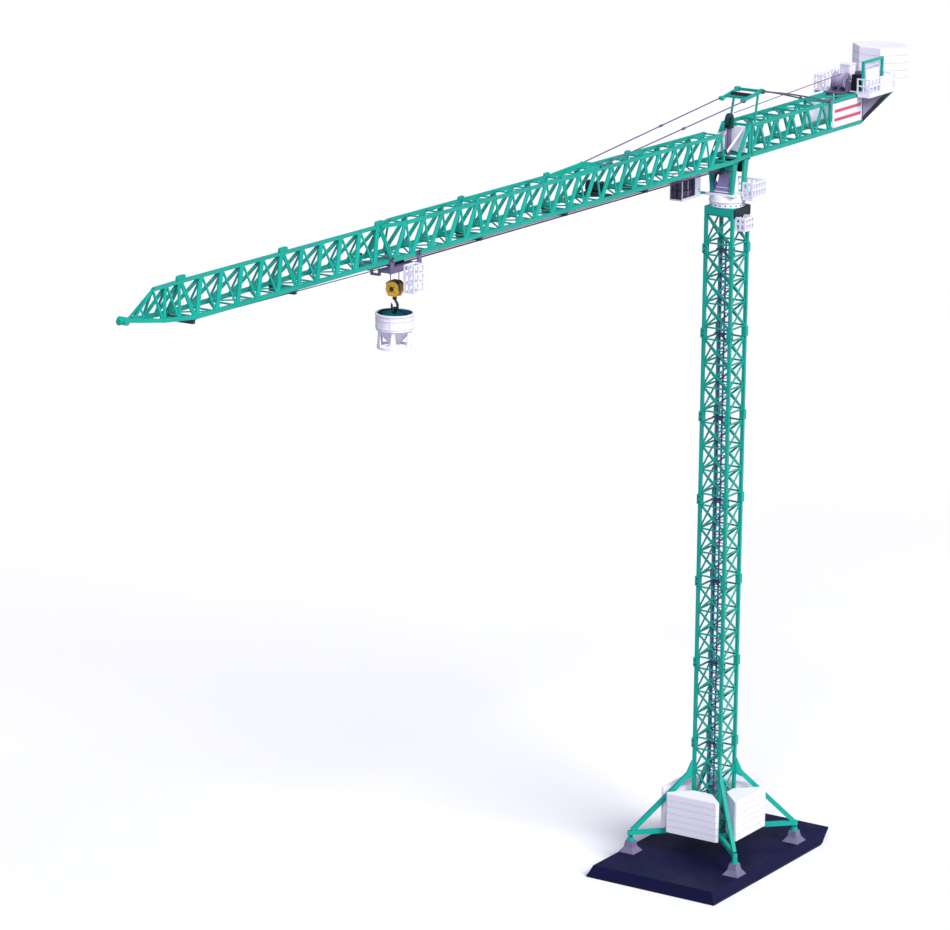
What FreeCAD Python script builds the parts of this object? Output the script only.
import FreeCAD, Part

import Sketcher
import math
import os

# Toy tower crane at 1:87, in millimetres.
# Origin: slewing axis at the underside of the plinth. +X along the jib, +Z up.

DIMENSIONS = (
    ("plinth_length", 224.0),
    ("plinth_width", 131.0),
    ("plinth_height", 11.4),
    ("plinth_flare", 4.6),
    ("plinth_lip", 2.4),
    ("plinth_undercut", 24.0),
    ("foot_spread", 57.5),
    ("pedestal_base", 17.0),
    ("pedestal_waist", 9.6),
    ("pedestal_top", 7.4),
    ("pedestal_height", 11.0),
    ("stub_radius", 2.6),
    ("beam_width", 4.0),
    ("beam_depth", 4.2),
    ("beam_level", 30.0),
    ("strut_top_level", 92.0),
    ("mast_half", 14.0),
    ("mast_chord", 3.0),
    ("mast_sleeve", 4.8),
    ("sleeve_reach", 4.6),
    ("mast_pitch", 80.41),
    ("first_collar", 117.56),
    ("panel_margin", 5.6),
    ("lace_width", 1.9),
    ("lace_thick", 0.9),
    ("mast_top", 640.4),
    ("head_band", 7.4),
    ("slab_height", 6.55),
    ("slab_step", 0.5),
    ("front_ballast_back", 20.0),
    ("front_ballast_face", 42.0),
    ("front_ballast_width", 58.0),
    ("side_ballast_back", 17.6),
    ("side_ballast_face", 41.5),
    ("side_ballast_width", 60.0),
    ("ballast_chamfer", 2.0),
    ("ballast_end", 2.6),
    ("ring_radius", 17.4),
    ("ring_height", 4.4),
    ("spigot_radius", 6.0),
    ("spigot_clearance", 0.08),
    ("turn_gap", 0.3),
    ("turret_floor", 651.0),
    ("jib_root_level", 684.3),
    ("jib_slope", 0.527),
    ("jib_start", 17.0),
    ("first_joint", 166.0),
    ("section_length", 135.2),
    ("lower_half", 13.7),
    ("upper_half", 8.8),
    ("jib_depth", 26.5),
    ("lower_chord", 3.2),
    ("upper_chord", 2.8),
    ("node_inset", 1.2),
    ("root_lead", 12.0),
    ("post_width", 1.7),
    ("diagonal_width", 3.8),
    ("diagonal_thick", 1.6),
    ("gusset_peak", 75.0),
    ("bracket_depth", 4.0),
    ("trolley_drive_x", 234.0),
    ("counter_level", 686.6),
    ("counter_top", 713.8),
    ("counter_start", 17.0),
    ("counter_truss_end", 168.0),
    ("sign_end", 229.0),
    ("counter_end", 294.0),
    ("deck_thick", 1.0),
    ("rail_height", 14.5),
    ("rail_bar", 1.3),
    ("counter_chord", 3.0),
    ("counter_lower_chord", 4.0),
    ("counter_web", 3.0),
    ("weight_face", 270.0),
    ("weight_depth", 44.0),
    ("weight_width", 56.2),
    ("weight_chamfer", 16.5),
    ("weight_slab", 7.25),
    ("drum_radius", 6.0),
    ("drum_length", 13.0),
    ("flange_radius", 7.8),
    ("axle_radius", 1.2),
    ("axle_clearance", 0.06),
    ("drum_x", -221.0),
    ("drum_y", -4.0),
    ("drum_level", 726.0),
    ("trolley_x", 556.0),
    ("trolley_length", 46.0),
    ("hook_x", 548.0),
    ("sheave_radius", 4.15),
    ("sheave_level", 660.0),
    ("rope_radius", 0.4),
    ("skip_radius", 15.8),
    ("skip_wall", 0.9),
    ("skip_top", 639.6),
    ("skip_bottom", 609.6),
    ("cathead_front_level", 738.7),
    ("cathead_rear_level", 743.0),
)

BALLAST_SLABS = 6
WEIGHT_SLABS = 5
MAST_SECTIONS = 6
PANELS = 3
JIB_PANELS = 5
GUSSET_RISE = 4.4

doc = FreeCAD.newDocument("TowerCrane")
sheet = doc.addObject("Spreadsheet::Sheet", "Dim")
for row, (alias, value) in enumerate(DIMENSIONS, start=1):
    sheet.set("A%d" % row, alias)
    sheet.set("B%d" % row, str(value))
    sheet.setAlias("B%d" % row, alias)
doc.recompute()

V = FreeCAD.Vector
subparts = []


def dim(alias):
    """A driving dimension as a plain number."""
    return float(sheet.get(alias))


def keep(obj, label):
    """Name a finished sub-part and put it on the list to write."""
    obj.Label = label
    subparts.append(obj)
    return obj


def feature(label, shape, placement=None):
    """A sub-part whose shape comes from Part's own functions."""
    obj = doc.addObject("Part::Feature", label)
    obj.Shape = shape
    if placement is not None:
        obj.Placement = placement
    return keep(obj, label)


# ---------------------------------------------------------------- PartDesign helpers

def new_body(name):
    return doc.addObject("PartDesign::Body", name)


def origin_plane(body, role):
    for item in body.Origin.OriginFeatures:
        if item.Role == role:
            return item
    raise RuntimeError("no plane " + role)


def polygon_sketch(body, name, corners, role="XY_Plane", lift="0"):
    """A closed polygon on one of the body's own planes.

    corners are pairs of expressions, and each corner is dimensioned from the origin.
    """
    sketch = body.newObject("Sketcher::SketchObject", name)
    sketch.AttachmentSupport = [(origin_plane(body, role), "")]
    sketch.MapMode = "FlatFace"
    sketch.setExpression("AttachmentOffset.Base.z", lift)
    points = [V(evaluate(x), evaluate(y), 0) for x, y in corners]
    count = len(points)
    for index in range(count):
        sketch.addGeometry(Part.LineSegment(points[index], points[(index + 1) % count]), False)
    for index in range(count):
        sketch.addConstraint(Sketcher.Constraint("Coincident", index, 2, (index + 1) % count, 1))
    for index, (x, y) in enumerate(corners):
        for kind, axis, expression, number in (("DistanceX", -2, x, points[index].x),
                                               ("DistanceY", -1, y, points[index].y)):
            if abs(number) < 1e-9:
                sketch.addConstraint(Sketcher.Constraint("PointOnObject", index, 1, axis))
                continue
            place = sketch.addConstraint(Sketcher.Constraint(kind, -1, 1, index, 1, number))
            sketch.setExpression("Constraints[%d]" % place, expression)
    return sketch


def evaluate(expression):
    """Number that an expression on the sheet gives."""
    return float(sheet.evalExpression(expression.replace("Dim.", "")))


def rectangle(length, width):
    """Corners of a centred rectangle, as expressions."""
    return [("-(%s) / 2" % length, "-(%s) / 2" % width), ("(%s) / 2" % length, "-(%s) / 2" % width),
            ("(%s) / 2" % length, "(%s) / 2" % width), ("-(%s) / 2" % length, "(%s) / 2" % width)]


def chamfered(length, width, cut):
    """Corners of a centred rectangle with its four corners cut off."""
    far_x = "(%s) / 2" % length
    far_y = "(%s) / 2" % width
    near_x = "%s - %s" % (far_x, cut)
    near_y = "%s - %s" % (far_y, cut)
    corners = []
    for sx, sy, swap in ((1, -1, True), (1, 1, False), (-1, 1, True), (-1, -1, False)):
        pair = [(near_x, far_y), (far_x, near_y)]
        if not swap:
            pair.reverse()
        for x, y in pair:
            corners.append(("%d * (%s)" % (sx, x), "%d * (%s)" % (sy, y)))
    return corners


def pad(body, sketch, length, taper=None):
    made = body.newObject("PartDesign::Pad", sketch.Name + "Pad")
    made.Profile = sketch
    made.setExpression("Length", length)
    if taper is not None:
        made.setExpression("TaperAngle", taper)
    return made


def revolve(body, sketch):
    """A full turn of the sketch about its own vertical axis."""
    made = body.newObject("PartDesign::Revolution", sketch.Name + "Turn")
    made.Profile = sketch
    made.ReferenceAxis = (sketch, ["V_Axis"])
    made.Angle = 360
    return made


def group(label, source, placements):
    """Separate copies of one solid, kept as one sub-part."""
    copies = []
    for placement in placements:
        copy = source.Shape.copy()
        copy.Placement = placement.multiply(copy.Placement)
        copies.append(copy)
    return feature(label, Part.makeCompound(copies))


def move(x, y, z, axis=V(0, 0, 1), turn=0.0):
    return FreeCAD.Placement(V(x, y, z), FreeCAD.Rotation(axis, turn))


# ---------------------------------------------------------------- lattice helpers

def bar(start, end, width, thick, normal=V(0, 1, 0)):
    """Flat bar between two points; its thin side faces along normal."""
    run = end - start
    along = V(run).normalize()
    flat = normal - along * normal.dot(along)
    if flat.Length < 1e-6:
        flat = V(0, 0, 1) - along * along.z
    flat.normalize()
    side = flat.cross(along)
    solid = Part.makeBox(run.Length, width, thick)
    corner = start - side * (width / 2) - flat * (thick / 2)
    solid.Placement = FreeCAD.Placement(corner, FreeCAD.Rotation(along, side, flat, "XZY"))
    return solid


def square(start, end, size, normal=V(0, 1, 0)):
    return bar(start, end, size, size, normal)


def rod(start, end, radius):
    run = end - start
    return Part.makeCylinder(radius, run.Length, start, run)


def block(low, high):
    size = high - low
    return Part.makeBox(size.x, size.y, size.z, low)


def fuse(shapes):
    return shapes[0].multiFuse(shapes[1:])


def plate(corners, thick, offset):
    """Flat plate with the given outline, thick along offset's direction."""
    outline = Part.makePolygon(corners + [corners[0]])
    return Part.Face(outline).extrude(V(offset).normalize() * thick)


def tube_path(points, radius, bends):
    """Round rope along straight runs joined by tangent arcs."""
    edges = []
    start = points[0]
    for index in range(1, len(points) - 1):
        corner = points[index]
        before = (points[index - 1] - corner).normalize()
        after = (points[index + 1] - corner).normalize()
        turn = math.pi - before.getAngle(after)
        trim = bends[index - 1] * math.tan(turn / 2)
        enter = corner + before * trim
        leave = corner + after * trim
        middle = (before + after).normalize()
        inset = bends[index - 1] / math.cos(turn / 2) - bends[index - 1]
        edges.append(Part.LineSegment(start, enter).toShape())
        edges.append(Part.Arc(enter, corner + middle * inset, leave).toShape())
        start = leave
    edges.append(Part.LineSegment(start, points[-1]).toShape())
    path = Part.Wire(edges)
    circle = Part.Wire(Part.makeCircle(radius, points[0], points[1] - points[0]))
    return path.makePipeShell([circle], True, False)


def side_rails(corners, base, height, size, posts):
    """Handrail bars round an open or closed run of corners: posts, top rail, mid rail."""
    bars = []
    for first, second in zip(corners[:-1], corners[1:]):
        run = second - first
        count = max(1, round(run.Length / posts))
        for step in range(count + 1):
            foot = first + run * (step / count)
            bars.append(square(V(foot.x, foot.y, base), V(foot.x, foot.y, base + height), size))
        for level in (height / 2, height - size / 2):
            lift = V(0, 0, base + level)
            reach = V(run).normalize() * (size / 2)
            bars.append(square(first + lift - reach, second + lift + reach, size, V(0, 0, 1)))
    return bars


# ---------------------------------------------------------------- plinth and base

def make_plinth():
    body = new_body("Plinth")
    lip = polygon_sketch(body, "Lip", rectangle("Dim.plinth_length + 2 * Dim.plinth_flare",
                                               "Dim.plinth_width + 2 * Dim.plinth_flare"))
    pad(body, lip, "Dim.plinth_lip")
    slope = polygon_sketch(body, "Slope", rectangle("Dim.plinth_length + 2 * Dim.plinth_flare - 1",
                                                   "Dim.plinth_width + 2 * Dim.plinth_flare - 1"),
                           lift="Dim.plinth_lip")
    pad(body, slope, "Dim.plinth_height - Dim.plinth_lip",
        "-atan((Dim.plinth_flare - 0.5) / (Dim.plinth_height - Dim.plinth_lip))")
    rear = "-Dim.plinth_length / 2"
    under = polygon_sketch(body, "RearUndercut", [
        (rear + " - Dim.plinth_flare - 1", "-0.5"), (rear + " + Dim.plinth_undercut", "-0.5"),
        (rear, "Dim.plinth_height - 0.5"), (rear + " - Dim.plinth_flare - 1", "Dim.plinth_height - 0.5")],
        "XZ_Plane")
    cut = body.newObject("PartDesign::Pocket", "RearCut")
    cut.Profile = under
    cut.Type = "ThroughAll"
    cut.Midplane = True
    body.Tip = cut
    doc.recompute()
    keep(body, "plinth")


def make_pedestals():
    body = new_body("Pedestal")
    rings = (("Dim.pedestal_base", "0"), ("Dim.pedestal_waist", "0.45 * Dim.pedestal_height"),
             ("Dim.pedestal_top", "Dim.pedestal_height"))
    sketches = [polygon_sketch(body, "Ring%d" % index, rectangle(side, side), lift=lift)
                for index, (side, lift) in enumerate(rings)]
    loft = body.newObject("PartDesign::AdditiveLoft", "Flare")
    loft.Profile = sketches[0]
    loft.Sections = sketches[1:]
    loft.Ruled = True
    doc.recompute()
    spread = dim("foot_spread")
    group("foot_pedestals", body, [move(sx * spread, sy * spread, dim("plinth_height"))
                                   for sx in (-1, 1) for sy in (-1, 1)])


def quarter_turns(shape):
    turned = []
    for step in range(4):
        copy = shape.copy()
        copy.rotate(V(0, 0, 0), V(0, 0, 1), 90 * step)
        turned.append(copy)
    return turned


def make_cross_base():
    half = dim("mast_half")
    spread = dim("foot_spread")
    level = dim("beam_level")
    foot = dim("plinth_height") + dim("pedestal_height")
    beam = bar(V(half + 2.2, half + 2.2, level), V(spread + 2, spread + 2, level),
               dim("beam_width"), dim("beam_depth"), V(0, 0, 1))
    stub = rod(V(spread, spread, foot), V(spread, spread, level), dim("stub_radius"))
    collar = rod(V(spread, spread, foot), V(spread, spread, foot + 1.6), dim("stub_radius") + 0.9)
    arm = fuse([beam, stub, collar])
    tie = bar(V(-half - 8, half + 7.5, level), V(half + 8, half + 7.5, level),
              4.0, dim("beam_depth"), V(0, 0, 1))
    feature("cross_base", fuse(quarter_turns(arm) + quarter_turns(tie)))


def make_struts():
    half = dim("mast_half")
    top = dim("strut_top_level")
    spread = dim("foot_spread")
    low = V(spread - 1, spread - 1, dim("beam_level") + dim("beam_depth") / 2)
    high = V(half + 2.4, half + 2.4, top - 4)
    lean = bar(low, high, 3.6, 4.4, V(1, 1, 0))
    outward = V(1, 1, 0).normalize()
    side = V(-1, 1, 0).normalize()
    root = V(half + 1.15, half + 1.15, top + 7)
    gusset = plate([root - side * 1.2, root + outward * 1.0 - side * 1.2,
                    root + outward * 9.5 - V(0, 0, 20) - side * 1.2,
                    root - V(0, 0, 16) - side * 1.2], 2.4, side)
    cutter = block(V(-half - 1.5, -half - 1.5, 0), V(half + 1.5, half + 1.5, 200))
    floor = block(V(0, 0, 0), V(90, 90, dim("beam_level") + dim("beam_depth") / 2))
    strut = fuse([lean, gusset]).cut(cutter).cut(floor)
    source = doc.addObject("Part::Feature", "StrutSource")
    source.Shape = strut
    group("base_struts", source, [move(0, 0, 0, V(0, 0, 1), 90 * step) for step in range(4)])


def lace_panel(low, high, half):
    """Crossed diagonals on the +Y face between two levels."""
    reach = half - 0.6
    thick = dim("lace_thick")
    width = dim("lace_width")
    return [bar(V(-reach, half, low), V(reach, half, high), width, thick, V(0, 1, 0)),
            bar(V(reach, half, low), V(-reach, half, high), width, thick, V(0, 1, 0))]


def mast_frame(low, high, levels, crossed, sleeve_low=True, sleeve_high=True):
    """Four chords between two levels, laced on all sides at the given levels."""
    half = dim("mast_half")
    chord = dim("mast_chord")
    side = []
    for level in levels:
        side.append(bar(V(-half, half, level), V(half, half, level), 1.5, 1.2, V(0, 1, 0)))
    for first, second in crossed:
        side += lace_panel(first, second, half)
    corner = [square(V(half, half, low), V(half, half, high), chord)]
    sleeve = dim("mast_sleeve")
    reach = dim("sleeve_reach")
    if sleeve_low:
        corner.append(square(V(half, half, low), V(half, half, low + reach), sleeve))
    if sleeve_high:
        corner.append(square(V(half, half, high - reach), V(half, half, high), sleeve))
    bars = []
    for piece in corner + side:
        bars += quarter_turns(piece)
    for level in levels:
        bars.append(bar(V(-half, -half, level), V(half, half, level), 1.3, 1.0, V(0, 0, 1)))
    return fuse(bars)


def panel_levels(low, high):
    margin = dim("panel_margin")
    step = (high - low - 2 * margin) / PANELS
    return [low + margin + step * index for index in range(PANELS + 1)]


def make_mast():
    collar = dim("first_collar")
    pitch = dim("mast_pitch")
    foot_low = dim("beam_level") - dim("beam_depth") / 2
    foot_levels = [foot_low + 3, 62.0, dim("strut_top_level") - 2, collar - dim("panel_margin")]
    feature("mast_foot", mast_frame(foot_low, collar, foot_levels, list(zip(foot_levels, foot_levels[1:])),
                                    sleeve_low=False))
    levels = panel_levels(0.0, pitch)
    section = mast_frame(0.0, pitch, levels, list(zip(levels, levels[1:])))
    for index in range(MAST_SECTIONS):
        feature("mast_section_%d" % (index + 1), section.copy(), move(0, 0, collar + pitch * index))
    make_mast_head(collar + pitch * MAST_SECTIONS)


def make_mast_head(low):
    half = dim("mast_half")
    top = dim("mast_top")
    band = dim("head_band")
    levels = [low + dim("panel_margin"), top - band - 0.6]
    frame = mast_frame(low, top - 0.5, levels, [levels], sleeve_high=False)
    walls = [block(V(-half - 1.5, half - 0.2, top - band), V(half + 1.5, half + 1.5, top))]
    lid = block(V(-half - 1.5, -half - 1.5, top - 1.6), V(half + 1.5, half + 1.5, top))
    hole = Part.makeCylinder(half - 3, 4, V(0, 0, top - 3))
    feature("mast_head", fuse([frame, lid.cut(hole)] + quarter_turns(walls[0])))


def make_mast_pins():
    """Bolt heads on the sleeves, two to a sleeve, on the outer faces of each collar."""
    half = dim("mast_half")
    out = half + dim("mast_sleeve") / 2
    pins = []
    for index in range(MAST_SECTIONS + 1):
        level = dim("first_collar") + dim("mast_pitch") * index
        for lift in (-2.4, 2.4):
            head = Part.makeCylinder(0.75, 0.7, V(half, out, level + lift), V(0, 1, 0))
            pins += quarter_turns(head)
    feature("mast_pins", Part.makeCompound(pins))


def make_ladder():
    """One ladder flight and one landing in each mast section."""
    flights = []
    count = 11
    for index in range(MAST_SECTIONS + 1):
        low = dim("first_collar") + dim("mast_pitch") * (index - 1) + 8
        if index == 0:
            low = dim("beam_level") + 8
        high = dim("first_collar") + dim("mast_pitch") * index + 7
        rails = [square(V(4.2, y, low), V(4.2, y, high), 1.2) for y in (-3.0, 2.0)]
        step = (high - low) / count
        for rung in range(count):
            level = low + step * (rung + 0.5)
            rails.append(square(V(4.0, -3.0, level), V(4.0, 2.0, level), 0.7, V(0, 0, 1)))
        landing = block(V(4.9, -6.0, high - 8), V(9.0, 6.0, high - 7.0))
        bracket = block(V(4.4, -1.0, high - 8), V(5.0, 1.0, high - 7.0))
        tie = square(V(4.0, -2.5, high - 9.0), V(4.0, 2.5, high - 9.0), 0.9, V(0, 0, 1))
        link = block(V(4.0, -1.0, high - 9.0), V(4.6, 1.0, high - 7.0))
        flights.append(fuse(rails + [landing, bracket, tie, link]))
    feature("mast_ladder", Part.makeCompound(flights))


def make_mast_platform():
    floor = 620.0
    inner = dim("mast_half") + 1.6
    rear, front, outer = -4.3, 12.8, 27.0
    deck = block(V(rear, inner, floor), V(front, outer, floor + 1.4))
    run = [V(rear + 1, inner + 1, 0), V(rear + 1, outer - 1, 0), V(front - 1, outer - 1, 0),
           V(front - 1, inner + 1, 0)]
    feature("mast_platform", fuse([deck] + side_rails(run, floor + 0.7, 12.0, 1.9, 5.2)))


def make_slab_stacks(label, body, count, height, base, places):
    placements = [place.multiply(move(0, 0, base + height * index))
                  for place in places for index in range(count)]
    group(label, body, placements)


def mitred(depth, width, cut):
    """Corners of a slab whose ends run back at 45 degrees; its outer face lies on +X."""
    face = "(%s) / 2" % depth
    edge = "(%s) / 2" % width
    back = "%s - (%s)" % (edge, depth)
    return [("-(%s)" % face, "-(%s)" % back), ("%s - %s" % (face, cut), "-(%s - %s)" % (edge, cut)),
            (face, "-(%s - %s)" % (edge, cut)), (face, "%s - %s" % (edge, cut)),
            ("%s - %s" % (face, cut), "%s - %s" % (edge, cut)), ("-(%s)" % face, back)]


def shouldered(depth, width, cut):
    """Corners of a slab with straight ends and mitred back corners; its outer face lies on +X."""
    face = "(%s) / 2" % depth
    edge = "(%s) / 2" % width
    end = "%s - Dim.ballast_end" % face
    back = "%s - (%s) + Dim.ballast_end" % (edge, depth)
    return [("-(%s)" % face, "-(%s)" % back), (end, "-(%s)" % edge),
            ("%s - %s" % (face, cut), "-(%s)" % edge), (face, "-(%s - %s)" % (edge, cut)),
            (face, "%s - %s" % (edge, cut)), ("%s - %s" % (face, cut), edge), (end, edge),
            ("-(%s)" % face, back)]


def make_ballast():
    """Four stacks of slabs round the mast foot: two square-ended and two mitred between them."""
    for kind, outline, turns in (("front", shouldered, (0, 180)), ("side", mitred, (90, 270))):
        body = new_body("Slab_" + kind)
        depth = "(Dim.%s_ballast_face - Dim.%s_ballast_back)" % (kind, kind)
        width = "Dim.%s_ballast_width" % kind
        lower = polygon_sketch(body, "Outline_" + kind, outline(depth, width, "Dim.ballast_chamfer"))
        pad(body, lower, "Dim.slab_height - Dim.slab_step")
        rim = polygon_sketch(body, "Rim_" + kind,
                             outline(depth + " - 0.8", width + " - 0.8", "Dim.ballast_chamfer"),
                             lift="Dim.slab_height - Dim.slab_step")
        body.Tip = pad(body, rim, "Dim.slab_step")
        doc.recompute()
        middle = (dim(kind + "_ballast_face") + dim(kind + "_ballast_back")) / 2
        base = dim("beam_level") + dim("beam_depth") / 2
        places = [move(0, 0, 0, V(0, 0, 1), turn).multiply(move(middle, 0, 0)) for turn in turns]
        make_slab_stacks("ballast_" + kind, body, BALLAST_SLABS, dim("slab_height"), base, places)


# ---------------------------------------------------------------- slewing ring and turret

def make_slew_rings():
    lower = new_body("LowerRing")
    section = polygon_sketch(lower, "LowerSection", [
        ("Dim.spigot_radius + Dim.spigot_clearance", "Dim.mast_top"),
        ("Dim.ring_radius - 1", "Dim.mast_top"),
        ("Dim.ring_radius - 1", "Dim.mast_top + Dim.ring_height"),
        ("Dim.spigot_radius + Dim.spigot_clearance", "Dim.mast_top + Dim.ring_height")], "XZ_Plane")
    revolve(lower, section)
    keep(lower, "slew_ring_lower")
    upper = new_body("UpperRing")
    seat = "Dim.mast_top + Dim.ring_height + Dim.turn_gap"
    section = polygon_sketch(upper, "UpperSection", [
        ("0", "Dim.mast_top - 1.2"), ("Dim.spigot_radius", "Dim.mast_top - 1.2"),
        ("Dim.spigot_radius", seat), ("Dim.ring_radius", seat),
        ("Dim.ring_radius - 1.2", "Dim.turret_floor - 0.6"), ("Dim.ring_radius - 2", "Dim.turret_floor"),
        ("0", "Dim.turret_floor")], "XZ_Plane")
    revolve(upper, section)
    keep(upper, "slew_ring_upper")


def make_turret():
    floor = dim("turret_floor")
    foot = 11.5
    head = dim("lower_half")
    jib_low = dim("jib_root_level") - 1.5
    deck = block(V(-15, -15, floor), V(15, 15, floor + 1.6))
    members = [deck]
    for sy in (-1, 1):
        for outer, inner in ((14.5, 6.0), (-14.5, -6.5)):
            step = 2.5 if outer > 0 else -1.5
            leg = [V(outer, sy * head, jib_low + 1), V(inner, sy * head, jib_low + 1),
                   V(inner + 0.8 * step, sy * foot, floor + 1), V(outer - step, sy * foot, floor + 1)]
            members.append(plate(leg, 2.2, V(0, -sy, 0)))
            flange = [V(outer, sy * head, jib_low + 1), V(outer, sy * (head - 3), jib_low + 1),
                      V(outer - step, sy * (foot - 3), floor + 1), V(outer - step, sy * foot, floor + 1)]
            members.append(plate(flange, 1.4, V(-outer, 0, 0)))
        near, far = sorted((sy * 3.8, sy * head))
        members.append(block(V(12.9, near, jib_low - 7), V(14.3, far, jib_low + 1)))
        members.append(square(V(16.9, sy * head, dim("jib_root_level")),
                              V(-dim("counter_start") + 0.3, sy * head, dim("counter_level")), 2.8))
        members.append(bar(V(9, sy * head, jib_low), V(-13, sy * head, 714.5), 4.2, 2.0))
        members.append(bar(V(-14.5, sy * head, jib_low), V(-14.5, sy * head, 716), 3.4, 2.0))
    for x, level in ((15, jib_low + 1.0), (0, jib_low + 2.4), (-14.5, 714.4), (-14.5, jib_low + 3.0)):
        members.append(square(V(x, -head, level), V(x, head, level), 2.2, V(0, 0, 1)))
    members += cab_arm(floor)
    feature("turret_frame", fuse(members))


def cab_arm(floor):
    """Bars from the turret's floor out to the cab's back wall."""
    top = floor + 1.6
    return [block(V(11, -27, floor), V(14, -14, top)),
            block(V(14, -27, floor), V(21.9, -24, top)),
            block(V(14, -21, floor), V(21.9, -18, top)),
            block(V(20.4, -27, floor), V(21.9, -18, 668))]


def make_turret_panels():
    """Sloping machinery covers inside the turret legs."""
    floor = dim("turret_floor") + 1.6
    covers = []
    for sy in (-1, 1):
        outline = [V(9.5, sy * 7, floor), V(-9.5, sy * 7, floor), V(-5, sy * 7, floor + 20),
                   V(3, sy * 7, floor + 20)]
        covers.append(plate(outline, 0.8, V(0, -sy, 0)))
    covers.append(block(V(-5, -6.2, floor), V(3, 6.2, floor + 20)))
    feature("turret_panels", Part.makeCompound(covers))


def make_turret_deck():
    """Railed walkway beside and behind the turret, on tabs fixed to the turret's floor."""
    top = dim("turret_floor")
    level = top - 1.0
    under = level - 2.5
    rear, front, outer = -22.0, 3.5, 28.5
    floor = [block(V(rear, 17.6, level), V(front, outer, top)),
             block(V(rear, outer - 0.8, under), V(front, outer, level)),
             block(V(front - 0.8, 18.2, under), V(front, outer, level)),
             block(V(rear, -12, level), V(-17.8, 17.6, top)),
             block(V(-12, 15.0, top), V(front, 19.0, top + 1.2)),
             block(V(-19.5, -6, top), V(-15.0, 6, top + 1.2))]
    run = [V(front - 0.7, 18.3, 0), V(front - 0.7, outer - 0.7, 0), V(rear + 0.7, outer - 0.7, 0),
           V(rear + 0.7, -11.3, 0)]
    feature("turret_deck", fuse(floor + side_rails(run, level + 0.5, dim("rail_height") - 0.8, 1.7, 5.0)))


def make_cab():
    """Operator's cab: box shell with window openings, one glazing shell inside, and a seat."""
    low = V(22, -29.6, 650.4)
    high = V(55, -16.2, 671.0)
    outer = block(low, high)
    inner = block(low + V(0.9, 0.9, 0.9), high - V(0.9, 0.9, 0.9))
    shell = outer.cut(inner)
    openings = [block(V(33, -31, 653.6), V(43, -14, 669.4)), block(V(44.2, -31, 653.6), V(53.6, -14, 669.4)),
                block(V(50, -28.2, 652.6), V(60, -17.6, 669.4))]
    for opening in openings:
        shell = shell.cut(opening)
    feature("cab_shell", shell)
    glass = block(V(32.6, -28.6, 652.2), V(54.0, -17.2, 669.9))
    hollow = block(V(31.0, -28.2, 650.0), V(53.6, -17.6, 669.5))
    feature("cab_glazing", glass.cut(hollow))
    cushion = block(V(38, -25.5, 651.3), V(43, -20.5, 655.4))
    backrest = block(V(38, -25.5, 655.4), V(39.2, -20.5, 661.5))
    console = block(V(46, -26, 651.3), V(48.4, -20, 656.4))
    feature("cab_seat", fuse([cushion, backrest, console]))


# ---------------------------------------------------------------- jib

def jib_place(along):
    """Placement of a jib piece whose own x starts a distance along the sloping jib."""
    slope = FreeCAD.Placement(V(0, 0, dim("jib_root_level")),
                              FreeCAD.Rotation(V(0, 1, 0), -dim("jib_slope")))
    return slope.multiply(move(along, 0, 0))


def jib_point(x, y, z):
    return jib_place(0).multVec(V(x, y, z))


def jib_section(length, panels, top_half_start, top_half_end, lead=0.0):
    """Jib truss from x = 0: chords, a post at each node, and diagonals that rise towards the root.

    The upper chords start at lead, and may close to a single one near the outer end."""
    low = dim("lower_half")
    depth = dim("jib_depth")
    lower = dim("lower_chord")
    upper = dim("upper_chord")
    inset = dim("node_inset")
    step = (length - lead) / panels
    knee = length * 0.8
    level = V(0, 0, 1)
    bars = []

    def top_half(x):
        blend = min(1.0, max(0.0, (x - knee) / (length - knee)))
        return top_half_start + (top_half_end - top_half_start) * blend

    nodes = [min(max(lead + step * index, lead + inset), length - inset) for index in range(panels + 1)]
    for sy in (-1, 1):
        y = sy * top_half_start
        bars.append(square(V(0, sy * low, 0), V(length, sy * low, 0), lower))
        if top_half_start != top_half_end:
            bars.append(square(V(lead, y, depth), V(knee, y, depth), upper))
            bars.append(square(V(knee, y, depth), V(length - 0.6, sy * (top_half_end + 0.8), depth), upper))
        elif y != 0 or sy > 0:
            bars.append(square(V(lead, y, depth), V(length, y, depth), upper))
        for x in nodes:
            outward = V(0, depth, sy * (low - top_half(x)))
            head = V(x, sy * top_half(x), depth)
            bars.append(bar(V(x, sy * low, 0), head, dim("post_width"), 1.2, outward))
        for inner, outer in zip(nodes[:-1], nodes[1:]):
            foot = V(outer - inset, sy * low, 0)
            crown = V(inner + inset, sy * top_half(inner), depth)
            outward = V(0, depth, sy * (low - top_half(inner)))
            bars.append(bar(foot, crown, dim("diagonal_width"), dim("diagonal_thick"), outward))
    for index, x in enumerate(nodes):
        bars.append(bar(V(x, -low, 0), V(x, low, 0), 1.5, 1.2, level))
        half = top_half(x)
        if half > 0.5:
            bars.append(bar(V(x, -half, depth), V(x, half, depth), 1.5, 1.2, level))
        if index > 0:
            flip = 1 if index % 2 == 0 else -1
            before = nodes[index - 1]
            bars.append(bar(V(before, -flip * low, 0), V(x, flip * low, 0), 1.3, 1.0, level))
            if top_half_start > 0:
                bars.append(bar(V(before, -flip * top_half(before), depth), V(x, flip * half, depth),
                                1.3, 1.0, level))
    return fuse(bars).common(block(V(0, -40, -5), V(length, 40, 60)))


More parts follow.
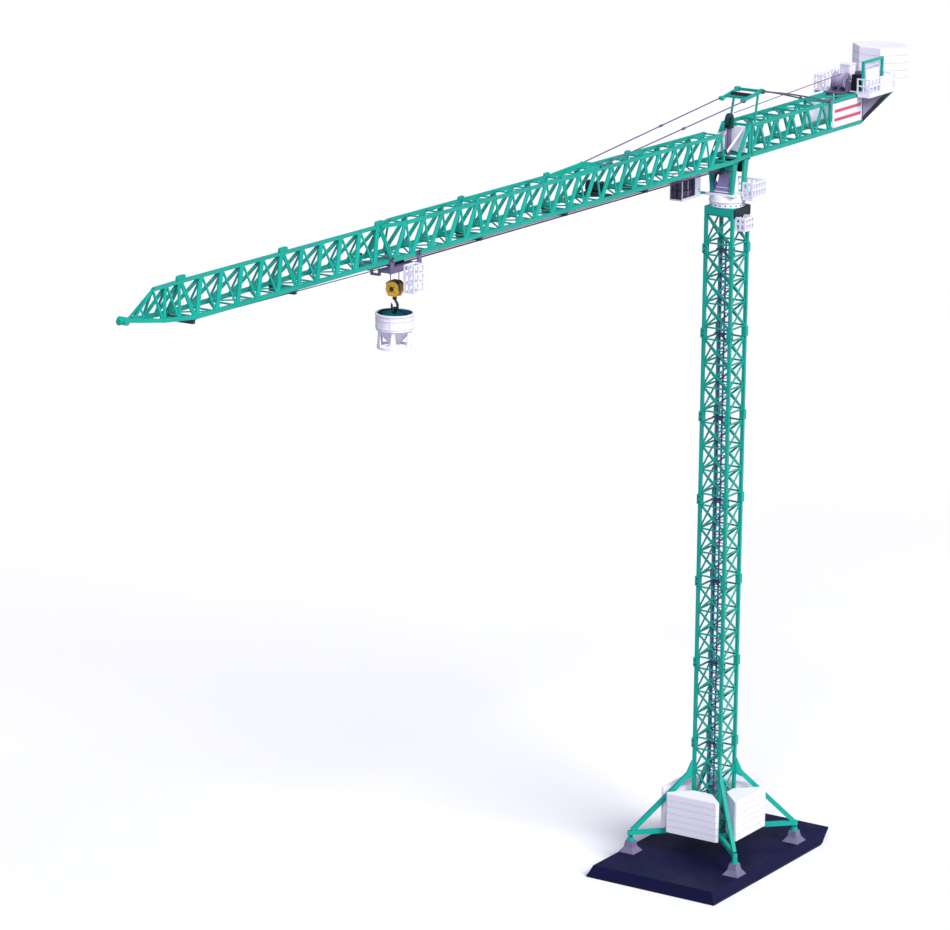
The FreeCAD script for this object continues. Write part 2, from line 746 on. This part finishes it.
def make_jib():
    """Six pinned sections and the tip; the upper chords of the first start beside the turret."""
    length = dim("section_length")
    first = dim("first_joint")
    half = dim("upper_half")
    start = dim("jib_start")
    root = jib_section(first - start, JIB_PANELS, half, half, dim("root_lead"))
    feature("jib_section_1", root, jib_place(start))
    inner = jib_section(length, JIB_PANELS, half, half)
    feature("jib_section_2", fuse([inner] + pendant_gussets(length)), jib_place(first))
    feature("jib_section_3", inner.copy(), jib_place(first + length))
    feature("jib_section_4", jib_section(length, JIB_PANELS, half, 0.0), jib_place(first + 2 * length))
    outer = jib_section(length, JIB_PANELS, 0.0, 0.0)
    for index in (3, 4):
        feature("jib_section_%d" % (index + 2), outer.copy(), jib_place(first + index * length))
    make_tip(first + 5 * length)


def pendant_gussets(length):
    """Long peaked plates on the upper chords, where the front pendants end."""
    depth = dim("jib_depth")
    peak = dim("gusset_peak")
    end = length - 9.5
    plates = []
    for sy in (-1, 1):
        y = sy * dim("upper_half") - 0.7
        outline = [V(peak - 24.0, y, depth), V(end, y, depth), V(end, y, depth + 1.8),
                   V(peak + 4.0, y, depth + GUSSET_RISE), V(peak - 2.2, y, depth + GUSSET_RISE)]
        plates.append(plate(outline, 1.4, V(0, 1, 0)))
    return plates


def make_tip(start):
    """Tapered jib tip with its post, sloping rods and round nose."""
    low = dim("lower_half")
    depth = dim("jib_depth")
    post = 36.0
    nose = 71.0
    lift = 8.0
    chord = dim("lower_chord")
    bars = [square(V(0, 0, depth), V(post - 1, 0, depth - 0.5), dim("upper_chord"))]
    post_half = 9.5
    post_rise = 3.0
    for sy in (-1, 1):
        knee = V(post, sy * post_half, post_rise)
        bars.append(square(V(0, sy * low, 0), knee, chord))
        bars.append(square(knee, V(nose, sy * 1.6, lift), chord - 0.2))
        for foot, crown, width in ((1.0, 1.0, 1.8), (16.8, 2.4, 3.0), (18.0, 18.0, 1.8), (34.2, 19.4, 3.0)):
            blend = foot / post
            bars.append(bar(V(foot, sy * (low + (post_half - low) * blend), post_rise * blend),
                            V(crown, 0, depth - 0.3), width, 1.4))
        bars.append(bar(knee, V(post, 0, depth), 1.8, 1.6, V(1, 0, 0)))
        bars.append(bar(V(post - 0.5, 0, depth - 0.5), V(nose - 8, sy * 2.6, lift - 0.6), 1.7, 1.4))
        middle = V((post + nose) / 2, sy * 5.6, (post_rise + lift) / 2)
        bars.append(bar(middle, V((post + nose) / 2 - 2, 0, depth * 0.6), 1.3, 1.0))
    for x in (0.9, 18.0, post):
        blend = x / post
        half = low + (post_half - low) * blend
        bars.append(bar(V(x, -half, post_rise * blend), V(x, half, post_rise * blend), 1.5, 1.2, V(0, 0, 1)))
    bars.append(Part.makeCylinder(3.2, 8.4, V(nose + 1.6, -4.2, lift), V(0, 1, 0)))
    bars.append(rod(V(nose + 1.6, 0, lift), V(nose + 7.4, 0, lift), 2.6))
    fused = fuse(bars).common(block(V(0, -40, -5), V(nose + 20, 40, 60)))
    feature("jib_tip", fused, jib_place(start))


def chord_lug(length, height, thick):
    """Upright plate with rounded upper corners, standing on z = 0 and centred on the joint."""
    radius = height / 2
    reach = length / 2 - radius
    pieces = [block(V(-length / 2, -thick / 2, 0), V(length / 2, thick / 2, radius)),
              block(V(-reach, -thick / 2, 0), V(reach, thick / 2, height))]
    for side in (-1, 1):
        pieces.append(Part.makeCylinder(radius, thick, V(side * reach, -thick / 2, radius), V(0, 1, 0)))
    return fuse(pieces)


def make_jib_pins():
    """Rounded lugs on the upper chords and pin heads under the lower chords, at each jib joint."""
    depth = dim("jib_depth")
    top = depth + dim("upper_chord") / 2
    under = -dim("lower_chord") / 2
    solids = []
    for index in range(6):
        joint = dim("first_joint") + dim("section_length") * index
        if index < 3:
            places = [(side * dim("upper_half"), 8.0, 2.4) for side in (-1, 1)]
        else:
            places = [(0.0, 11.0, 3.4)]
        for y, length, height in places:
            lug = chord_lug(length, height, 2.0)
            lug.Placement = jib_place(0).multiply(move(joint, y, top))
            solids.append(lug)
        for sy in (-1, 1):
            pin = Part.makeCylinder(1.0, 0.7, V(joint, sy * dim("lower_half"), under), V(0, 0, -1))
            pin.Placement = jib_place(0).multiply(pin.Placement)
            solids.append(pin)
    feature("jib_pins", Part.makeCompound(solids))


def make_rope_brackets():
    """Rope carriers across the underside of the jib, at its joints."""
    under = -dim("lower_chord") / 2
    reach = dim("lower_half") - 1.1
    brackets = []
    for index in (0, 1, 2, 4, 5):
        joint = dim("first_joint") + dim("section_length") * index
        carrier = block(V(joint - 1.8, -reach, under - dim("bracket_depth")), V(joint + 1.8, reach, under))
        carrier.Placement = jib_place(0)
        brackets.append(carrier)
    feature("rope_brackets", Part.makeCompound(brackets))


def make_trolley_drive():
    """Winch of the trolley rope: drum, flanges, side plates and motor on a plate across the chords."""
    middle = dim("trolley_drive_x")
    bottom = dim("lower_chord") / 2
    radius = 4.6
    axis = bottom + 1.0 + radius + 1.4
    half = 7.2
    pieces = [block(V(-6.5, -dim("lower_half") + 0.4, bottom), V(6.5, dim("lower_half") - 0.4, bottom + 1.0)),
              Part.makeCylinder(radius, 2 * half, V(0, -half, axis), V(0, 1, 0)),
              Part.makeCylinder(3.0, 3.2, V(0, half, axis), V(0, 1, 0))]
    for sy in (-1, 1):
        pieces.append(Part.makeCylinder(radius + 1.2, 1.0, V(0, sy * (half - 0.5) - 0.5, axis), V(0, 1, 0)))
        pieces.append(block(V(-2.2, sy * half - 0.5, bottom + 1.0), V(2.2, sy * half + 0.5, axis)))
    feature("trolley_drive", fuse(pieces), jib_place(middle))


# ---------------------------------------------------------------- cathead and pendants

def make_cathead():
    front = dim("cathead_front_level")
    rear = dim("cathead_rear_level")
    front_x = -5.0
    rear_x = -37.0
    bars = []
    eyes = []
    for sy in (-1, 1):
        near = V(front_x, sy * 11, front)
        far = V(rear_x, sy * 12.5, rear)
        bars.append(bar(near, far, 3.0, 2.0))
        eyes.append(Part.makeCylinder(2.2, 3.0, V(front_x, sy * 11 - 1.5, front), V(0, 1, 0)))
        eyes.append(Part.makeCylinder(2.4, 3.4, V(rear_x, sy * 12.5 - 1.7, rear), V(0, 1, 0)))
        bars.append(bar(V(rear_x + 6, sy * 12.3, rear - 1), V(-24.5, sy * 13.0, 715.9), 1.9, 1.5))
    bars.append(square(V(front_x - 8, -11.5, front + 1), V(front_x - 8, 11.5, front + 1), 2.2, V(0, 0, 1)))
    bars.append(square(V(rear_x, -12.5, rear), V(rear_x, 12.5, rear), 2.4, V(0, 0, 1)))
    feature("cathead_frame", fuse(bars + eyes))
    middle = V(-21.5, 0, (front + rear) / 2 + 0.2)
    roller = rod(middle - V(0, 10.1, 0), middle + V(0, 10.1, 0), 1.9)
    feature("cathead_roller", roller)


def make_pendants():
    peak = dim("first_joint") + dim("gusset_peak")
    gusset = dim("jib_depth") + GUSSET_RISE - 1.2
    rods = []
    for sy in (-1, 1):
        upper = V(-5.0, sy * 11 + sy * 2.2, dim("cathead_front_level"))
        lower = jib_point(peak, sy * (dim("upper_half") + 1.45), gusset)
        run = lower - upper
        clevis = Part.makeCylinder(1.7, 1.3, upper + V(0, -0.65, 0), V(0, 1, 0))
        foot = Part.makeCylinder(1.5, 1.3, lower + V(0, -0.65, 0), V(0, 1, 0))
        coupling = rod(upper + run * 0.43, upper + run * 0.447, 1.15)
        rods.append(fuse([rod(upper, lower, 0.6), clevis, foot, coupling]))
    feature("front_pendants", Part.makeCompound(rods))
    rear_rods = []
    for sy in (-1, 1):
        upper = V(-37.0, sy * 15.0, dim("cathead_rear_level"))
        lower = V(-163.0, sy * 15.98, dim("counter_top") + 1.6)
        run = lower - upper
        sag = [upper, upper + run * 0.36 + V(0, 0, 1.4), upper + run * 0.7 + V(0, 0, 1.3), lower]
        line = tube_path(sag, 0.75, [900.0, 900.0])
        clevis = Part.makeCylinder(1.9, 1.5, upper + V(0, -0.75, 0), V(0, 1, 0))
        foot = Part.makeCylinder(1.7, 1.5, lower + V(0, -0.75, 0), V(0, 1, 0))
        rear_rods.append(fuse([line, clevis, foot]))
    feature("rear_pendants", Part.makeCompound(rear_rods))


# ---------------------------------------------------------------- counter-jib

def make_counter_jib():
    low = dim("counter_level")
    top = dim("counter_top")
    half = dim("lower_half")
    start = -dim("counter_start") - 0.2
    end = -dim("counter_truss_end")
    rear = -dim("sign_end")
    tail = -dim("counter_end")
    panels = 5
    step = (end - start) / panels
    bars = []
    for sy in (-1, 1):
        y = sy * half
        bars.append(square(V(start, y, low), V(rear, y, low), dim("counter_lower_chord")))
        bars.append(square(V(start, y, top), V(tail, y, top), dim("counter_chord")))
        bars.append(bar(V(rear, y, low), V(tail, y, top - 5.5), 3.0, 2.4))
        bars.append(square(V(tail + 1.2, y, top - 6), V(tail + 1.2, y, top), 2.4))
        for x in (start - 1.2, end, rear):
            bars.append(square(V(x, y, low), V(x, y, top), 2.4))
        for panel in range(panels):
            first = start + step * panel
            middle = first + step / 2
            bars.append(bar(V(first - 1, y, low), V(middle, y, top), dim("counter_web"), 1.6))
            bars.append(bar(V(middle, y, top), V(first + step + 1, y, low), dim("counter_web"), 1.6))
    stations = [start - 1.2] + [start + step * index for index in range(1, panels + 1)] + [rear, tail + 1.2]
    for index, x in enumerate(stations):
        bars.append(bar(V(x, -half, top), V(x, half, top), 2.0, 2.0, V(0, 0, 1)))
        if x > rear - 1:
            bars.append(bar(V(x, -half, low), V(x, half, low), 2.0, 2.0, V(0, 0, 1)))
        if 0 < index < len(stations):
            flip = half if index % 2 == 0 else -half
            bars.append(bar(V(stations[index - 1], -flip, top), V(x, flip, top), 1.8, 1.4, V(0, 0, 1)))
    feature("counter_jib", fuse(bars))


def make_signs():
    """White name boards without lettering, one each side of the counter-jib."""
    outer = dim("lower_half") + 1.5
    low = V(-dim("sign_end") + 1.6, outer, dim("counter_level") + 2.0)
    high = V(-dim("counter_truss_end") - 1.6, outer + 1.2, dim("counter_top") - 2.0)
    board = block(low, high)
    mirror = board.mirror(V(0, 0, 0), V(0, 1, 0))
    feature("sign_panels", Part.makeCompound([board, mirror]))


def make_machine_deck():
    """White floor over the counter-jib with railed side walkways and toe boards."""
    level = dim("counter_top") + 1.55
    top = level + dim("deck_thick")
    rear = -dim("weight_face") + 2.0
    near_start = -216.0
    far_start = -212.0
    floor = [block(V(rear, -15.2, level), V(-236, 15.2, top)),
             block(V(-236, 5.0, level), V(-222, 15.2, top)),
             block(V(rear, 15.2, level), V(near_start, 30, top)),
             block(V(rear, -29, level), V(far_start, -15.2, top)),
             block(V(rear, 29.0, level - 3.0), V(near_start, 30, level)),
             block(V(near_start - 1.0, 17.0, level - 3.0), V(near_start, 30, level)),
             block(V(rear, -29, level - 3.0), V(far_start, -28, level))]
    rails = []
    for start, inner, outer in ((near_start, 16.5, 29.3), (far_start, -16.5, -28.3)):
        run = [V(start - 0.7, inner, 0), V(start - 0.7, outer, 0), V(rear + 0.7, outer, 0),
               V(rear + 0.7, inner, 0)]
        rails += side_rails(run, (level + top) / 2, dim("rail_height"), dim("rail_bar"), 7.0)
    feature("machine_deck", fuse(floor + rails))


def deck_top():
    return dim("counter_top") + 1.55 + dim("deck_thick")


def make_winch():
    """Hoist winch: drum with flanges and axle, turning in two bearing stands, with its motor."""
    drum = new_body("Drum")
    half = "Dim.drum_length / 2"
    profile = polygon_sketch(drum, "DrumSection", [
        ("0", "-(%s) - 4" % half), ("Dim.axle_radius", "-(%s) - 4" % half),
        ("Dim.axle_radius", "-(%s)" % half), ("Dim.flange_radius", "-(%s)" % half),
        ("Dim.flange_radius", "-(%s) + 1" % half), ("Dim.drum_radius", "-(%s) + 1" % half),
        ("Dim.drum_radius", "%s - 1" % half), ("Dim.flange_radius", "%s - 1" % half),
        ("Dim.flange_radius", half), ("Dim.axle_radius", half),
        ("Dim.axle_radius", "%s + 4" % half), ("0", "%s + 4" % half)], "XY_Plane")
    revolve(drum, profile)
    drum.setExpression("Placement.Base.x", "Dim.drum_x")
    drum.setExpression("Placement.Base.y", "Dim.drum_y")
    drum.setExpression("Placement.Base.z", "Dim.drum_level")
    keep(drum, "winch_drum")
    base = deck_top()
    x = dim("drum_x")
    y = dim("drum_y")
    hole = dim("axle_radius") + dim("axle_clearance")
    reach = dim("drum_length") / 2 + 0.5
    stands = []
    for sy in (-1, 1):
        inner = y + sy * reach
        outer = y + sy * (reach + 2.4)
        low = min(inner, outer)
        outline = [V(x - 5, low, base), V(x + 5, low, base), V(x + 2.4, low, dim("drum_level") + 2.6),
                   V(x - 2.4, low, dim("drum_level") + 2.6)]
        stand = plate(outline, 2.4, V(0, 1, 0))
        bore = Part.makeCylinder(hole, 8, V(x, low - 2, dim("drum_level")), V(0, 1, 0))
        stands.append(stand.cut(bore))
    motor = fuse([Part.makeCylinder(4.0, 12, V(x - 14, y - 6, base + 4.4), V(0, 1, 0)),
                  block(V(x - 17, y - 5, base), V(x - 11, y + 5, base + 2)),
                  block(V(x - 18, y + 6, base), V(x - 9.5, y + 9, base + 9))])
    bed = block(V(-235.9, -15.1, base - dim("deck_thick")), V(-206, 4.9, base))
    feature("winch_frame", Part.makeCompound(stands + [motor, bed]))


def make_cabinets():
    base = deck_top()
    white = block(V(-252, -16, base), V(-240, -5.5, base + 21))
    lid = block(V(-252.5, -16.5, base + 21), V(-239.5, -5.0, base + 22))
    door = block(V(-257.5, 16.4, base), V(-231, 17.6, 736.5))
    feature("machinery_cabinets", Part.makeCompound([fuse([white, lid]), door]))
    black = block(V(-236, 5.8, base), V(-224, 13.4, base + 15))
    feature("resistor_box", black)


def make_portal():
    """Lifting frame over the machinery."""
    base = deck_top()
    top = 745.5
    y = 17.0
    bars = [square(V(-226, y, base), V(-226, y, top), 2.4), square(V(-264, y, base), V(-264, y, top), 2.4),
            square(V(-224.8, y, top - 1.2), V(-265.2, y, top - 1.2), 2.4, V(0, 0, 1))]
    feature("portal_frame", fuse(bars))


def make_counterweights():
    """Eight-sided slabs stacked on the end of the counter-jib."""
    body = new_body("WeightSlab")
    outline = polygon_sketch(body, "WeightOutline",
                             chamfered("Dim.weight_depth", "Dim.weight_width", "Dim.weight_chamfer"))
    pad(body, outline, "Dim.weight_slab - 0.4")
    rim = polygon_sketch(body, "WeightRim",
                         chamfered("Dim.weight_depth - 0.8", "Dim.weight_width - 0.8", "Dim.weight_chamfer"),
                         lift="Dim.weight_slab - 0.4")
    body.Tip = pad(body, rim, "0.4")
    doc.recompute()
    middle = -dim("weight_face") - dim("weight_depth") / 2
    bottom = dim("counter_top") + dim("counter_chord") / 2
    make_slab_stacks("counterweights", body, WEIGHT_SLABS, dim("weight_slab"), bottom, [move(middle, 0, 0)])


# ---------------------------------------------------------------- ropes

def make_ropes():
    """Trolley and hoist ropes under the jib, and the hoist rope back to the winch."""
    radius = dim("rope_radius")
    trolley = dim("trolley_x")
    anchor = jib_point(dim("first_joint") + 5 * dim("section_length"), 0,
                       -dim("lower_chord") / 2 - dim("bracket_depth") - radius)
    under = []
    for y, drop in ((-1.6, -8.4), (0.0, -9.6), (1.6, -8.4)):
        start = jib_point(18.0, y, drop)
        end = jib_point(trolley, y, drop)
        under.append(rod(start, end, radius))
    middle = jib_point(trolley, 0, -9.6)
    outer = rod(middle, anchor, radius)
    under[1] = fuse([under[1], outer])
    head = V(-8.0, 0, 725.6)
    drum = V(dim("drum_x") + 2.6, dim("drum_y") + 1.0, dim("drum_level") + dim("drum_radius") + radius + 0.15)
    back = rod(head, drum, radius)
    feature("running_ropes", Part.makeCompound(under + [back]))


def make_rope_guides():
    """Rope outlet under the jib root, and the head sheave on its post between the turret legs."""
    low = dim("jib_root_level")
    outlet = block(V(13.4, -3.0, low - 12.5), V(17.8, 3.0, low - 1.6))
    post = rod(V(0, 0, low + 2.9), V(0, 0, 714.0), 2.0)
    forks = [plate([V(-3, sy * 2.6 - 0.6, 713.5), V(3, sy * 2.6 - 0.6, 713.5), V(1.6, sy * 2.6 - 0.6, 722.6),
                    V(-1.6, sy * 2.6 - 0.6, 722.6)], 1.2, V(0, 1, 0)) for sy in (-1, 1)]
    saddle = block(V(-3, -3.2, 712.6), V(3, 3.2, 713.7))
    disc = Part.makeCylinder(6.2, 3.0, V(0, -1.5, 720.4), V(0, 1, 0))
    groove = Part.makeTorus(6.6, 1.0, V(0, 0, 720.4), V(0, 1, 0))
    axle = rod(V(0, -3.6, 720.4), V(0, 3.6, 720.4), 1.0)
    feature("rope_guides", Part.makeCompound([outlet, fuse([post, saddle, axle, disc.cut(groove)] + forks)]))


# ---------------------------------------------------------------- trolley, hook and skip

def make_trolley():
    """Trolley frame hung on the lower chords by lips that ride on their outer edges, and its rope box."""
    centre = dim("trolley_x")
    half = dim("trolley_length") / 2
    outer = dim("lower_half") + dim("lower_chord") / 2
    running = dim("lower_chord") / 2 + 0.3
    low = -13.5
    members = []

    def pair(low_x, near, low_z, high_x, far, high_z):
        for sy in (-1, 1):
            first, second = sorted((sy * near, sy * far))
            members.append(block(V(low_x, first, low_z), V(high_x, second, high_z)))

    pair(-half, outer + 0.35, low + 3, half, outer + 1.55, low + 8)
    pair(-half + 2, 5.2, low + 3.2, half - 2, 6.4, low + 6)
    for x in (-half + 3, half - 3):
        pair(x - 2.5, outer + 0.35, low + 4, x + 2.5, outer + 1.55, running + 1.0)
        pair(x - 2.5, outer - 0.45, running, x + 2.5, outer + 1.55, running + 1.0)
        pair(x - 1.5, 3.2, low + 3.2, x + 1.5, outer + 0.6, low + 6)
        pair(x - 1.5, 3.2, low, x + 1.5, 4.4, low + 6)
        members.append(block(V(x - 1.5, -4.4, low), V(x + 1.5, 4.4, low + 1.6)))
    feature("trolley_frame", fuse(members), jib_place(centre))
    members = []
    pair(-14, 2.3, low + 1.0, -2, 3.3, low + 8)
    for x in (-14, -3):
        members.append(block(V(x, -5.2, low + 1.0), V(x + 1, 5.2, low + 2.0)))
        pair(x, 2.3, low + 3.4, x + 1, 5.2, low + 8)
    feature("trolley_housing", fuse(members), jib_place(centre))


def make_basket():
    """Service basket on the side of the trolley."""
    low = V(545.5, 17.6, 660.5)
    high = V(559.5, 26.6, 684.0)
    size = 1.5
    bars = []
    corners = [V(low.x, low.y, 0), V(high.x, low.y, 0), V(high.x, high.y, 0), V(low.x, high.y, 0)]
    for corner in corners:
        bars.append(square(corner + V(0, 0, low.z), corner + V(0, 0, high.z), size))
    reach = V(size / 2, size / 2, 0)
    for level in (low.z + 8.0, low.z + 15.6, high.z - size / 2):
        for first, second in zip(corners, corners[1:] + corners[:1]):
            grow = (second - first).normalize() * (size / 2)
            height = V(0, 0, level)
            bars.append(square(first - grow + height, second + grow + height, size, V(0, 0, 1)))
    floor = block(V(low.x, low.y, low.z) - reach, V(high.x, high.y, low.z + 1.0) + reach)
    middle = (low + high) / 2
    bars.append(square(V(middle.x, high.y, low.z), V(middle.x, high.y, high.z), size))
    bars.append(square(V(high.x, middle.y, low.z), V(high.x, middle.y, high.z), size))
    inner = dim("lower_half") + dim("lower_chord") / 2 + 1.6
    tab = block(V(547, inner, 679.2), V(556, low.y + 0.4, 682.0))
    feature("service_basket", fuse([floor, tab] + bars))


def make_falls():
    """The two hoist rope falls between the trolley and the hook block's sheave."""
    radius = dim("rope_radius")
    x = dim("hook_x")
    falls = [rod(V(x, sy * dim("sheave_radius"), dim("sheave_level")),
                 V(x, sy * dim("sheave_radius"), 676.6), radius) for sy in (-1, 1)]
    feature("hoist_falls", Part.makeCompound(falls))


def make_hook_block():
    x = dim("hook_x")
    level = dim("sheave_level")
    sheave = new_body("Sheave")
    groove = "Dim.sheave_radius - Dim.rope_radius - 0.1"
    rim = "Dim.sheave_radius + 1"
    profile = polygon_sketch(sheave, "SheaveSection", [
        ("Dim.axle_radius + Dim.axle_clearance", "-1.5"), (rim, "-1.5"), (rim, "-1.1"), (groove, "-0.4"),
        (groove, "0.4"), (rim, "1.1"), (rim, "1.5"), ("Dim.axle_radius + Dim.axle_clearance", "1.5")],
        "XY_Plane")
    revolve(sheave, profile)
    sheave.setExpression("Placement.Base.x", "Dim.hook_x")
    sheave.setExpression("Placement.Base.z", "Dim.sheave_level")
    sheave.Placement.Rotation = FreeCAD.Rotation(V(0, 0, 1), 90)
    keep(sheave, "block_sheave")
    cheeks = []
    for sx in (-1, 1):
        inner = x + sx * 2.0
        outer = x + sx * 4.6
        near = min(inner, outer)
        outline = [V(near, -4.2, level - 6.6), V(near, 4.2, level - 6.6), V(near, 7.0, level - 1.5),
                   V(near, 6.2, level + 4.4), V(near, 3.2, level + 6.4), V(near, -3.2, level + 6.4),
                   V(near, -6.2, level + 4.4), V(near, -7.0, level - 1.5)]
        cheeks.append(plate(outline, abs(outer - inner), V(1, 0, 0)))
    yoke = block(V(x - 2.2, -3.2, level - 6.6), V(x + 2.2, 3.2, level - 5.8))
    axle = rod(V(x - 5.4, 0, level), V(x + 5.4, 0, level), dim("axle_radius"))
    body = fuse(cheeks + [yoke])
    swivel_bore = Part.makeCylinder(1.1 + dim("axle_clearance"), 4, V(x, 0, level - 8))
    feature("hook_block", fuse([body.cut(swivel_bore), axle]))


def make_hook():
    """Swivel shank and hook, open towards +Y and +X."""
    x = dim("hook_x")
    level = dim("sheave_level")
    top = level - 5.4
    centre = V(x, 0, 644.6)
    bend = 2.9
    start = V(x, 0, 650.6)
    shank = Part.makeCylinder(1.1, top - start.z, start)
    head = Part.makeCylinder(1.7, 0.5, V(x, 0, level - 5.75))
    collar = Part.makeCylinder(1.9, 2.2, V(x, 0, 650.6))
    path_points = [V(x, 0, 651.0), V(x, bend, centre.z + 2.6), V(x, bend, centre.z)]
    neck = rod(path_points[0], path_points[1], 1.0)
    arc = Part.Arc(V(x, bend, centre.z), V(x, 0, centre.z - bend), V(x, -bend, centre.z)).toShape()
    circle = Part.Wire(Part.makeCircle(1.0, V(x, bend, centre.z), V(0, 0, 1)))
    bowl = Part.Wire(arc).makePipeShell([circle], True, False)
    side = rod(path_points[1], path_points[2], 1.0)
    point = Part.makeCone(1.0, 0.35, 2.4, V(x, -bend, centre.z))
    ball = Part.makeSphere(1.0, path_points[1])
    feature("hook", fuse([shank, head, collar, neck, ball, side, bowl, point]))


def make_skip():
    """Concrete skip: drum with ribs and cone, ring foot with legs, and its bail."""
    x = dim("hook_x")
    body = new_body("SkipBowl")
    wall = "Dim.skip_wall"
    outer = "Dim.skip_radius"
    floor = "Dim.skip_bottom + 16"
    profile = polygon_sketch(body, "SkipSection", [
        ("4", "Dim.skip_bottom + 4"), ("4 + %s" % wall, "Dim.skip_bottom + 4"),
        ("%s" % outer, floor), (outer, "Dim.skip_top - 1.6"),
        ("%s + 0.7" % outer, "Dim.skip_top - 1.6"), ("%s + 0.7" % outer, "Dim.skip_top"),
        ("%s - %s" % (outer, wall), "Dim.skip_top"),
        ("%s - %s" % (outer, wall), floor + " + 0.6")], "XZ_Plane")
    revolve(body, profile)
    body.setExpression("Placement.Base.x", "Dim.hook_x")
    keep(body, "skip_bowl")
    bottom = dim("skip_bottom")
    radius = dim("skip_radius")
    ring = Part.makeCylinder(radius - 1.0, 2.0, V(x, 0, bottom)).cut(
        Part.makeCylinder(radius - 2.4, 3.0, V(x, 0, bottom - 0.5)))
    legs = []
    for step in range(6):
        angle = 60 * step + 30
        near = radius - 2.2
        outline = [V(near, -3.0, bottom + 1), V(near, 3.0, bottom + 1),
                   V(near, 1.1, bottom + 17.4), V(near, -1.1, bottom + 17.4)]
        leg = plate(outline, 1.1, V(1, 0, 0))
        leg.rotate(V(0, 0, 0), V(0, 0, 1), angle)
        leg.translate(V(x, 0, 0))
        legs.append(leg)
    stand = fuse([ring] + legs)
    cone = Part.makeCone(5.1, radius + 0.05, 12.0, V(x, 0, bottom + 4))
    sleeve = Part.makeCylinder(radius + 0.05, 20, V(x, 0, bottom + 16))
    gate = Part.makeCylinder(4.6, 1.2, V(x, 0, bottom + 2.75))
    lever = block(V(x, -0.8, bottom + 2.95), V(x + radius - 3.0, 0.8, bottom + 3.75))
    feature("skip_stand", Part.makeCompound([stand.cut(fuse([cone, sleeve])), fuse([gate, lever])]))
    inner = radius - dim("skip_wall")
    beam = bar(V(x, -inner + 0.1, dim("skip_top") - 2.4), V(x, inner - 0.1, dim("skip_top") - 2.4),
               2.2, 1.4, V(0, 0, 1))
    eye = Part.makeTorus(2.6, 0.75, V(x, 0, dim("skip_top") + 1.65), V(0, 1, 0))
    eye_base = block(V(x - 1.1, -1.1, dim("skip_top") - 2.4), V(x + 1.1, 1.1, dim("skip_top") - 1.1))
    feature("skip_bail", fuse([beam, eye, eye_base]))


make_plinth()
make_pedestals()
make_cross_base()
make_struts()
make_mast()
make_mast_pins()
make_ladder()
make_mast_platform()
make_ballast()
make_slew_rings()
make_turret()
make_turret_panels()
make_turret_deck()
make_cab()
make_jib()
make_jib_pins()
make_rope_brackets()
make_trolley_drive()
make_cathead()
make_pendants()
make_counter_jib()
make_signs()
make_machine_deck()
make_winch()
make_cabinets()
make_portal()
make_counterweights()
make_ropes()
make_rope_guides()
make_trolley()
make_basket()
make_falls()
make_hook_block()
make_hook()
make_skip()
doc.recompute()

for obj in doc.Objects:
    if "Invalid" in obj.State or "Error" in obj.State:
        raise RuntimeError("%s is %s" % (obj.Label, obj.State))

os.makedirs("parts", exist_ok=True)
for obj in subparts:
    if obj.Shape.isNull() or not obj.Shape.isValid():
        raise RuntimeError("%s has no valid shape" % obj.Label)
    obj.Shape.exportStep("parts/%s.step" % obj.Label)
    print("%-22s solids %3d  volume %10.2f" % (obj.Label, len(obj.Shape.Solids), obj.Shape.Volume))
print(len(subparts), "sub-parts")
